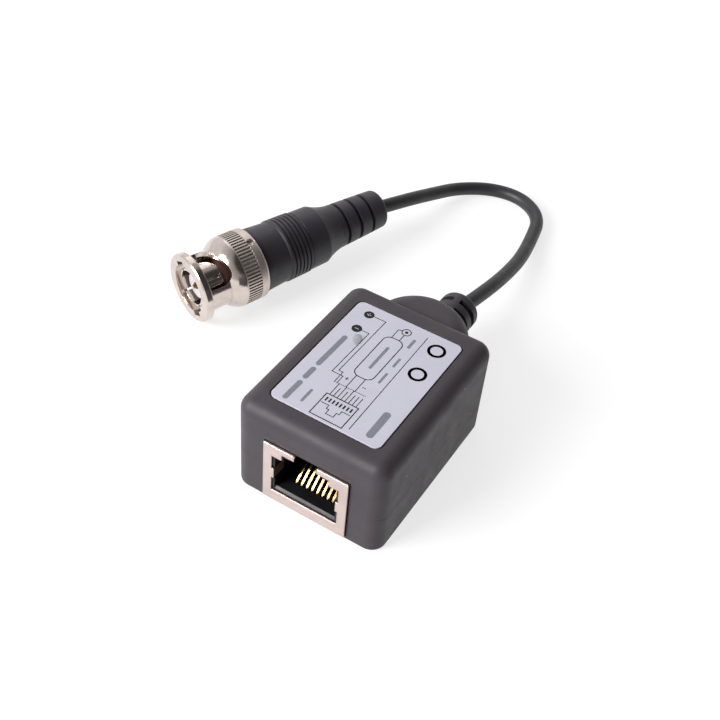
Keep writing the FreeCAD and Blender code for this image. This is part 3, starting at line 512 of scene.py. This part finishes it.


# %% [markdown]
# Now the finishes themselves. The colours are linear values chosen beside the photograph:
# a charcoal housing, a lavender-white label, a pale pinkish shield and warm nickel on the plug.
# Each call gives the name, a darker and a lighter tone, the two limits of the roughness, and then
# the size and the depth of the grain in metres.

# %% The plastics and rubbers
finishes = {
    # Its edges turn a little lighter, partly wear and partly a painted highlight, and painted shade darkens its
    # seams and crevices.
    "shell_plastic": plastic("shell_plastic", (0.050, 0.042, 0.049), (0.062, 0.053, 0.061), (0.44, 0.56),
                             0.00022, 0.000014, cloud=0.009, edge=0.0003,
                             edge_wear_and_highlight_tone=(0.060, 0.052, 0.059), level=0.32, specks=0.05, shade=0.0003),
    # Its edges turn lighter, partly wear and partly a painted highlight, and painted shade darkens the corners
    # round the jack's window.
    "black_plastic": plastic("black_plastic", (0.008, 0.008, 0.010), (0.013, 0.013, 0.016), (0.30, 0.42),
                             0.0003, 0.000006, cloud=0.004, edge=0.0002, edge_wear_and_highlight_tone=(0.02, 0.02, 0.024),
                             level=0.36, shade=0.0008),
    # Painted shade darkens the ridges of the boot and the relief.
    "soft_pvc": plastic("soft_pvc", (0.026, 0.022, 0.028), (0.035, 0.031, 0.038), (0.38, 0.50),
                        0.0004, 0.000010, cloud=0.005, level=0.45, shade=0.0006),
    "cable_jacket": plastic("cable_jacket", (0.018, 0.017, 0.018), (0.028, 0.026, 0.029), (0.40, 0.52),
                            0.0005, 0.000012, cloud=0.006, level=0.50),
    # Its edges turn much lighter: a painted highlight along the rim of the film.
    "label_film": plastic("label_film", (0.545, 0.538, 0.625), (0.585, 0.577, 0.665), (0.48, 0.58),
                          0.0006, 0.000002, cloud=0.008, edge=0.00014, edge_wear_and_highlight_tone=(0.80, 0.78, 0.82),
                          level=0.28),
    "label_ink": plastic("label_ink", (0.006, 0.006, 0.009), (0.012, 0.012, 0.016), (0.48, 0.58),
                         0.0002, 0.000002, cloud=0.001, level=0.28),
    "label_tint": plastic("label_tint", (0.20, 0.20, 0.25), (0.23, 0.23, 0.28), (0.48, 0.58),
                          0.0002, 0.000002, cloud=0.001, level=0.28),
    "white_insulator": plastic("white_insulator", (0.54, 0.50, 0.52), (0.62, 0.58, 0.60), (0.30, 0.42),
                               0.0003, 0.000003, cloud=0.002),
    "gasket_rubber": plastic("gasket_rubber", (0.050, 0.014, 0.011), (0.070, 0.020, 0.015), (0.45, 0.60),
                             0.0002, 0.000008, cloud=0.002),
    "board_laminate": plastic("board_laminate", (0.03, 0.12, 0.05), (0.05, 0.17, 0.07), (0.30, 0.42),
                              0.0004, 0.000006, cloud=0.003),
    "ferrite": plastic("ferrite", (0.030, 0.032, 0.032), (0.055, 0.057, 0.055), (0.45, 0.60),
                       0.00025, 0.000020, cloud=0.002),
}
print("plastics made:", len(finishes))

# %% The metals
finishes.update({
    "shield_metal": metal("shield_metal", (0.64, 0.52, 0.49), (0.73, 0.61, 0.575), (0.30, 0.42),
                          0.00025, 0.000006, cloud=0.004, edge=0.0004, reach=0.0004),
    "plated_brass": metal("plated_brass", (0.60, 0.52, 0.475), (0.72, 0.64, 0.59), (0.11, 0.20),
                          0.0005, 0.000003, cloud=0.003, edge=0.00016, reach=0.0005, gain=1.1),
    # The long reach paints shade over the contacts deep in the jack, so their tips stay brighter than their backs.
    "gold_contact": metal("gold_contact", (0.58, 0.36, 0.15), (0.72, 0.46, 0.22), (0.05, 0.09),
                          0.0002, 0.000001, cloud=0.001, edge=0.00004, reach=0.007, gain=1.6,
                          crevice_shade_tone=(0.035, 0.022, 0.012)),
    "spring_steel": metal("spring_steel", (0.45, 0.44, 0.42), (0.58, 0.56, 0.54), (0.22, 0.34),
                          0.0003, 0.000002, cloud=0.002),
    "copper_wire": metal("copper_wire", (0.62, 0.22, 0.10), (0.80, 0.34, 0.17), (0.20, 0.32),
                         0.0002, 0.000004, cloud=0.001),
    "solder": metal("solder", (0.58, 0.58, 0.60), (0.70, 0.70, 0.72), (0.18, 0.36),
                    0.0004, 0.000010, cloud=0.001),
    "tinned_braid": metal("tinned_braid", (0.55, 0.54, 0.52), (0.70, 0.69, 0.67), (0.28, 0.42),
                          0.00012, 0.000020, cloud=0.0006),
})
print("finishes made:", len(finishes))

# %% [markdown]
# The sleeve's grip has been rolled and handled, so it is duller than the polished front of the
# plug. The finish stays one material. It measures how far back along the plug's axis a point
# lies, and adds to the roughness from the start of the grip on. The wave spring's seat is known in
# the frame and in distance from the plug's front, so it ties the two together.

# %% A duller grip
GRIP_START = 8.8 * MM
GRIP_FADE = 0.3 * MM
GRIP_EXTRA_ROUGHNESS = 0.30
SPRING_SEAT_STATION = 8.5 * MM


def dull_the_grip(material):
    tree = material.node_tree
    shader = next(node for node in tree.nodes if node.type == "BSDF_PRINCIPLED")
    place = next(node for node in tree.nodes if node.type == "TEX_COORD")
    gloss = shader.inputs["Roughness"].links[0].from_socket
    forward = Vector(travel["axis"])
    grip_edge = forward.dot(Vector(spring_seat)) - (GRIP_START - SPRING_SEAT_STATION)
    along = add_node(tree, "ShaderNodeVectorMath", operation="DOT_PRODUCT")
    along.inputs[1].default_value = forward
    join(tree, place.outputs["Object"], along.inputs[0])
    extra = add_node(tree, "ShaderNodeMapRange")
    extra.inputs["From Min"].default_value = grip_edge
    extra.inputs["From Max"].default_value = grip_edge - GRIP_FADE
    extra.inputs["To Max"].default_value = GRIP_EXTRA_ROUGHNESS
    join(tree, along.outputs["Value"], extra.inputs["Value"])
    total = add_node(tree, "ShaderNodeMath", operation="ADD")
    join(tree, gloss, total.inputs[0])
    join(tree, extra.outputs["Result"], total.inputs[1])
    join(tree, total.outputs[0], shader.inputs["Roughness"])


dull_the_grip(finishes["plated_brass"])
print("grip dulled from", round(GRIP_START / MM, 1), "mm behind the plug's front")

# %% [markdown]
# Each solid of the measured model names the finish that its record gives it. The finish is put
# into the object's own material slot, and the mesh isn't touched.

# %% Put the finishes on the solids
def dress(piece, finish):
    piece.data.materials.clear()
    piece.data.materials.append(finishes[finish])


for entry in frame["record"]["subparts"]:
    dress(nodes[entry["node"]], entry["material_slot"])
dress(cable, "cable_jacket")
dress(wave_spring, "spring_steel")
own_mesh(wave_spring)

# %% [markdown]
# The label's print is a wiring sketch: two terminals with their leads, the transformer as a
# rounded outline, and the jack with its eight wires. It could be a pattern in the film's
# material, but thin pieces of ink are easier to place to a tenth of a millimetre. Each line is a
# narrow strip and each disc a filled circle, about a hundredth of a millimetre thick. The places
# are in millimetres, as they were read on a plane a little lower than the film's top, so a small
# shift brings them onto the film.

# %% Helpers: strips and discs of ink
LABEL_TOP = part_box("label_plate")[1].z
INK = 0.012 * MM
SHIFT_X, SHIFT_Y = 0.15, -0.28
ink_pieces = []


def spot(x, y):
    """The middle of a layer of ink at a place on the label."""
    return Vector(((x + SHIFT_X) * MM, (y + SHIFT_Y) * MM, LABEL_TOP + INK / 2))


def bar(x0, y0, x1, y1, width):
    """A straight strip of ink between two places on the label, in millimetres."""
    clear_selection()
    run = Vector((x1 - x0, y1 - y0))
    middle = spot((x0 + x1) / 2, (y0 + y1) / 2)
    bpy.ops.mesh.primitive_cube_add(size=1, location=middle, rotation=(0, 0, math.atan2(run.y, run.x)))
    piece = bpy.context.object
    piece.scale = ((run.length + width) * MM, width * MM, INK)
    bpy.ops.object.transform_apply(location=True, rotation=True, scale=True)
    ink_pieces.append(piece)


def disc(x, y, radius):
    """A round dot of ink."""
    clear_selection()
    bpy.ops.mesh.primitive_cylinder_add(vertices=40, radius=radius * MM, depth=INK, location=spot(x, y))
    bpy.ops.object.transform_apply(location=True, rotation=True, scale=True)
    ink_pieces.append(bpy.context.object)


print("top of the label in mm:", round(LABEL_TOP / MM, 2))


# %% Helpers: lines, arcs and outlines
def path(points, width):
    """A line through several places."""
    for start, end in zip(points[:-1], points[1:]):
        bar(*start, *end, width)


def arc(x, y, radius, start, end, width, steps=6):
    """A part of a circle, from one angle to another in degrees."""
    turns = [math.radians(start + (end - start) * step / steps) for step in range(steps + 1)]
    path([(x + radius * math.cos(turn), y + radius * math.sin(turn)) for turn in turns], width)


def outline(x0, y0, x1, y1, corner, width):
    """The outline of a rounded rectangle."""
    path([(x0 + corner, y0), (x1 - corner, y0)], width)
    path([(x0 + corner, y1), (x1 - corner, y1)], width)
    path([(x0, y0 + corner), (x0, y1 - corner)], width)
    path([(x1, y0 + corner), (x1, y1 - corner)], width)
    arc(x1 - corner, y1 - corner, corner, 0, 90, width)
    arc(x0 + corner, y1 - corner, corner, 90, 180, width)
    arc(x0 + corner, y0 + corner, corner, 180, 270, width)
    arc(x1 - corner, y0 + corner, corner, 270, 360, width)


# %% Helper: many strips become one piece
def gather_ink(name, finish):
    clear_selection()
    for piece in ink_pieces:
        piece.select_set(True)
    bpy.context.view_layer.objects.active = ink_pieces[0]
    bpy.ops.object.join()
    piece = bpy.context.object
    piece.name = name
    bpy.ops.object.origin_set(type="ORIGIN_CURSOR")
    dress(piece, finish)
    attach(piece, "balun")
    ink_pieces.clear()
    return piece


# %% The terminals and their leads
HAIR = 0.14
SIGN = 0.13
TERMINAL_RADIUS = 0.92
disc(-7.24, 11.52, TERMINAL_RADIUS)
disc(-7.15, 7.31, TERMINAL_RADIUS)
path([(-6.4, 11.6), (-3.95, 11.6), (-4.2, -3.0), (-3.4, -3.0), (-3.4, -5.6)], HAIR)
path([(-6.3, 7.4), (-4.8, 7.4), (-5.0, -3.8), (-2.9, -3.8), (-2.9, -5.6)], HAIR)
leads = gather_ink("label_terminals", "label_ink")
path([(-7.6, 11.52), (-6.88, 11.52)], SIGN)
path([(-7.24, 11.16), (-7.24, 11.88)], SIGN)
path([(-7.5, 7.31), (-6.8, 7.31)], SIGN)
for piece in ink_pieces:
    piece.location.z = INK  # one layer up, on top of the discs
signs = gather_ink("label_signs", "label_film")
print("terminals:", leads.name, signs.name)

# %% The transformer and the round connector
outline(-2.15, -2.35, 1.45, 8.9, 1.3, 0.17)
path([(-1.2, 8.9), (-1.2, 11.2), (-0.6, 11.4)], HAIR)
path([(0.3, 8.9), (0.3, 10.6)], HAIR)
arc(0.3, 11.4, 0.8, 0, 360, 0.16, steps=16)
disc(0.3, 11.4, 0.3)
path([(-1.2, -2.35), (-1.2, -5.6)], HAIR)
path([(0.5, -2.35), (0.5, -5.6)], HAIR)
path([(-2.35, -3.9), (-1.85, -3.9)], HAIR)
path([(-2.1, -4.15), (-2.1, -3.65)], HAIR)
path([(1.1, -4.1), (1.6, -4.1)], HAIR)
transformer = gather_ink("label_transformer", "label_ink")
print("transformer:", transformer.name)

# %% The jack and its wires
for wire in range(8):
    across = -2.45 + 0.7 * wire
    path([(across, -5.6 if wire in (0, 2, 4) else -6.4), (across, -8.4)], HAIR)
for pad in range(8):
    across = -2.3 + 0.66 * pad
    path([(across, -9.3), (across, -9.9)], 0.3)
path([(-3.4, -5.6), (2.5, -5.6)], 0.09)
path([(-2.95, -8.5), (3.0, -8.5), (3.0, -13.6), (-2.95, -13.6), (-2.95, -8.5)], HAIR * 1.3)
path([(-2.6, -10.6), (-1.2, -10.6), (-1.2, -11.4), (-0.7, -11.4), (-0.7, -12.4), (0.7, -12.4),
      (0.7, -11.4), (1.2, -11.4), (1.2, -10.6), (2.6, -10.6)], HAIR)
path([(3.9, 12.3), (4.1, -13.0)], HAIR)
jack_sketch = gather_ink("label_jack", "label_ink")
print("strips in the jack:", len(jack_sketch.data.polygons) // 6)

# %% [markdown]
# Plain fields of a middle tone give the label its balance of light and dark, and two rings fill
# its free corner. A field could be a bar with two discs on its ends, but faces that overlap in one
# plane render badly. So a flat disc is taken, and its two halves are pulled apart in edit mode.

# %% Helper: pull a disc apart
def pull_apart(piece, reach):
    for side in (1, -1):
        bpy.ops.object.mode_set(mode="EDIT")
        bpy.ops.mesh.select_mode(type="VERT")
        bpy.ops.mesh.select_all(action="DESELECT")
        bpy.ops.object.mode_set(mode="OBJECT")
        for corner in piece.data.vertices:
            corner.select = math.copysign(1, corner.co.x) == side
        bpy.ops.object.mode_set(mode="EDIT")
        bpy.ops.transform.translate(value=(side * reach, 0, 0))
        bpy.ops.object.mode_set(mode="OBJECT")


def pill(x0, y0, x1, y1, width):
    """A field with round ends between two places on the label."""
    clear_selection()
    run = Vector((x1 - x0, y1 - y0))
    bpy.ops.mesh.primitive_cylinder_add(vertices=30, radius=width / 2 * MM, depth=INK)
    piece = bpy.context.object
    pull_apart(piece, run.length / 2 * MM)
    piece.rotation_euler.z = math.atan2(run.y, run.x)
    piece.location = spot((x0 + x1) / 2, (y0 + y1) / 2)
    bpy.ops.object.transform_apply(location=True, rotation=True, scale=True)
    ink_pieces.append(piece)


# %% Plain fields and rings
for ends_and_width in [
    (-7.9, -13.0, -7.8, -9.0, 0.95), (-7.8, -7.4, -7.75, -5.2, 0.95), (-7.75, -3.6, -7.6, 4.2, 0.95),
    (-5.3, -12.2, -5.3, -9.4, 0.5), (-0.35, 0.5, -0.35, 6.2, 0.55), (2.65, -1.6, 2.65, 0.8, 0.45),
    (2.65, 3.0, 2.65, 5.0, 0.45), (2.4, 8.4, 2.4, 10.4, 0.55), (7.4, -12.2, 7.4, -7.1, 1.3),
]:
    pill(*ends_and_width)
fields = gather_ink("label_fields", "label_tint")
RING_RADIUS = 1.35
RING_WIDTH = 0.5
arc(6.8, 3.7, RING_RADIUS, 0, 360, RING_WIDTH, steps=32)
arc(6.7, 10.4, RING_RADIUS, 0, 360, RING_WIDTH, steps=32)
rings = gather_ink("label_rings", "label_ink")
print("fields and rings:", fields.name, rings.name)

# %% [markdown]
# A drop of clear glue has dried on the label beside the two leads. It is a low oval dome. Bisect
# cuts a sphere in half in edit mode and closes the cut with a face, which comes to lie on the
# film, and a scale presses the half flat. Bisect leaves its faces in another order each time. So
# they're sorted by how far they lie from the 3D cursor, which stands off to one side for that.

# %% The drop
DROP_TURN = math.radians(28)
SORTING_PLACE = (3.1, 1.7, 0.9)  # beside a ball of radius 1, where no two faces are equally far


def make_drop(x, y, across, length, height):
    clear_selection()
    bpy.ops.mesh.primitive_uv_sphere_add(segments=48, ring_count=32, radius=1.0)
    drop = bpy.context.object
    drop.name = "glue_drop"
    bpy.ops.object.mode_set(mode="EDIT")
    bpy.ops.mesh.select_all(action="SELECT")
    bpy.ops.mesh.bisect(plane_co=(0, 0, 0), plane_no=(0, 0, -1), use_fill=True, clear_outer=True)
    bpy.context.scene.cursor.location = SORTING_PLACE
    bpy.ops.mesh.select_all(action="SELECT")
    bpy.ops.mesh.sort_elements(type="CURSOR_DISTANCE", elements={"VERT", "EDGE", "FACE"})
    bpy.context.scene.cursor.location = (0, 0, 0)
    bpy.ops.object.mode_set(mode="OBJECT")
    drop.scale = (across / 2 * MM, length / 2 * MM, height * MM)
    drop.rotation_euler.z = DROP_TURN
    drop.location = spot(x, y)
    bpy.ops.object.transform_apply(location=True, rotation=True, scale=True)
    bpy.ops.object.shade_smooth_by_angle(angle=math.radians(40))
    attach(drop, "balun")
    return drop


drop = make_drop(-5.75, 5.0, 1.75, 2.6, 0.42)
print("drop:", drop.name, len(drop.data.polygons), "faces")

# %% [markdown]
# Glue this thin mostly shows at its rim. A glass shader would refract the ink below it, but in so
# shallow a dome that turns it black. A pale veil is steadier: its Alpha follows the Layer Weight
# node, so the drop fades in towards its edge. The veil's pale grey is a painted reflection, for
# clear glue has no colour of its own.

# %% The glue
GLUE_IOR = 1.47
VEIL_MIDDLE, VEIL_RIM = 0.16, 0.75


def make_glue():
    material, tree, shader, place = start_material("clear_glue")
    shader.inputs["IOR"].default_value = GLUE_IOR
    # The pale tone of the veil is a painted reflection.
    tone = clouded_tone(tree, place, (0.44, 0.46, 0.47), (0.58, 0.60, 0.61), 0.0009)
    gloss = use_group(tree, soft_clouds, Cloud_size=0.0006, Low=0.14, High=0.26)
    join(tree, place, gloss.inputs["Vector"])
    join(tree, tone, shader.inputs["Base Color"])
    join(tree, gloss.outputs["Value"], shader.inputs["Roughness"])
    facing = add_node(tree, "ShaderNodeLayerWeight")
    facing.inputs["Blend"].default_value = 0.35
    veil = add_node(tree, "ShaderNodeMapRange")
    veil.inputs["To Min"].default_value = VEIL_MIDDLE
    veil.inputs["To Max"].default_value = VEIL_RIM
    join(tree, facing.outputs["Facing"], veil.inputs["Value"])
    join(tree, veil.outputs["Result"], shader.inputs["Alpha"])
    return material


drop.data.materials.append(make_glue())
print("glue:", drop.data.materials[0].name)

# %% [markdown]
# The stage is a large pale floor under plain soft light. The camera sees the floor near white,
# as a sweep of paper in a studio, and the object's shadow stays on it. Metal sees that floor too.

# %% The floor
FLOOR_SIDE = 6.0
PAPER_BOUNCE = (0.60, 0.60, 0.60, 1)
PAPER_SEEN = (0.34, 0.34, 0.34, 1)
PAPER_GLOW = 0.74


def make_floor():
    clear_selection()
    bpy.ops.mesh.primitive_plane_add(size=FLOOR_SIDE, location=(0, 0, 0))
    floor = bpy.context.object
    floor.name = "studio_floor"
    material = bpy.data.materials.new("studio_paper")
    material.use_nodes = True
    tree = material.node_tree
    tree.nodes.clear()
    output = add_node(tree, "ShaderNodeOutputMaterial")
    bounce = add_node(tree, "ShaderNodeBsdfDiffuse")
    bounce.inputs["Color"].default_value = PAPER_BOUNCE
    seen = add_node(tree, "ShaderNodeBsdfDiffuse")
    seen.inputs["Color"].default_value = PAPER_SEEN
    glow = add_node(tree, "ShaderNodeEmission")
    glow.inputs["Strength"].default_value = PAPER_GLOW
    both = add_node(tree, "ShaderNodeAddShader")
    join(tree, seen.outputs[0], both.inputs[0])
    join(tree, glow.outputs[0], both.inputs[1])
    rays = add_node(tree, "ShaderNodeLightPath")
    looked_at = rays.outputs["Is Camera Ray"]
    for kind in ("Is Glossy Ray", "Is Transmission Ray"):
        either = add_node(tree, "ShaderNodeMath", operation="MAXIMUM")
        join(tree, looked_at, either.inputs[0])
        join(tree, rays.outputs[kind], either.inputs[1])
        looked_at = either.outputs[0]
    pick = add_node(tree, "ShaderNodeMixShader")
    join(tree, looked_at, pick.inputs[0])
    join(tree, bounce.outputs[0], pick.inputs[1])
    join(tree, both.outputs[0], pick.inputs[2])
    join(tree, pick.outputs[0], output.inputs["Surface"])
    floor.data.materials.append(material)
    return floor


floor = make_floor()
print("floor:", floor.name)

# %% [markdown]
# Two soft lamps do the work of a light tent. The main one stands in front, a little to the left
# and fairly low, so the front is lighter than the top. A weak one from behind on the left draws a
# light edge along the round pieces.

# %% Lamps
LAMP_AIM = (0.0, 0.02, 0.0)


def soft_lamp(name, place, side, power):
    lamp = bpy.data.lights.new(name, "AREA")
    lamp.shape = "SQUARE"
    lamp.size = side
    lamp.energy = power
    lamp_object = bpy.data.objects.new(name, lamp)
    scene.collection.objects.link(lamp_object)
    lamp_object.location = place
    way = Vector(LAMP_AIM) - Vector(place)
    lamp_object.rotation_euler = way.to_track_quat("-Z", "Y").to_euler()


soft_lamp("main_softbox", (-0.40, -0.60, 0.44), 0.40, 8.4)
soft_lamp("back_softbox", (-0.45, 0.55, 0.62), 0.50, 0.5)
print("lamps:", [item.name for item in bpy.data.lights])

# %% [markdown]
# The world is the cloth of the tent. It is bright on the left and fades towards the upper right,
# where it opens to a dark room. Polished metal needs such a dark place to reflect, or it looks
# like white plaster. One ramp makes the whole of it. It runs over the cosine of the angle between
# a ray and the middle of the opening.

# %% World
OPENING = (0.680, -0.050, 0.731)
CLOTH = [(0.0, (0.88, 0.87, 0.89)), (0.30, (0.62, 0.61, 0.62)), (0.62, (0.42, 0.41, 0.41)),
         (0.86, (0.05, 0.05, 0.05))]


def make_world():
    world = bpy.data.worlds.new("studio_air")
    world.use_nodes = True
    tree = world.node_tree
    background = tree.nodes["Background"]
    way = add_node(tree, "ShaderNodeTexCoord")
    towards = add_node(tree, "ShaderNodeVectorMath", operation="DOT_PRODUCT")
    towards.inputs[1].default_value = OPENING
    join(tree, way.outputs["Generated"], towards.inputs[0])
    cloth = add_node(tree, "ShaderNodeValToRGB")
    cloth.color_ramp.interpolation = "EASE"
    stops = cloth.color_ramp.elements
    stops[0].position, stops[1].position = CLOTH[0][0], CLOTH[-1][0]
    for position, tone in CLOTH[1:-1]:
        stops.new(position)
    for stop, (position, tone) in zip(stops, CLOTH):
        stop.color = (*tone, 1)
    join(tree, towards.outputs["Value"], cloth.inputs["Fac"])
    join(tree, cloth.outputs["Color"], background.inputs["Color"])
    scene.world = world


make_world()
scene.view_settings.view_transform = "Standard"
print("world:", scene.world.name)
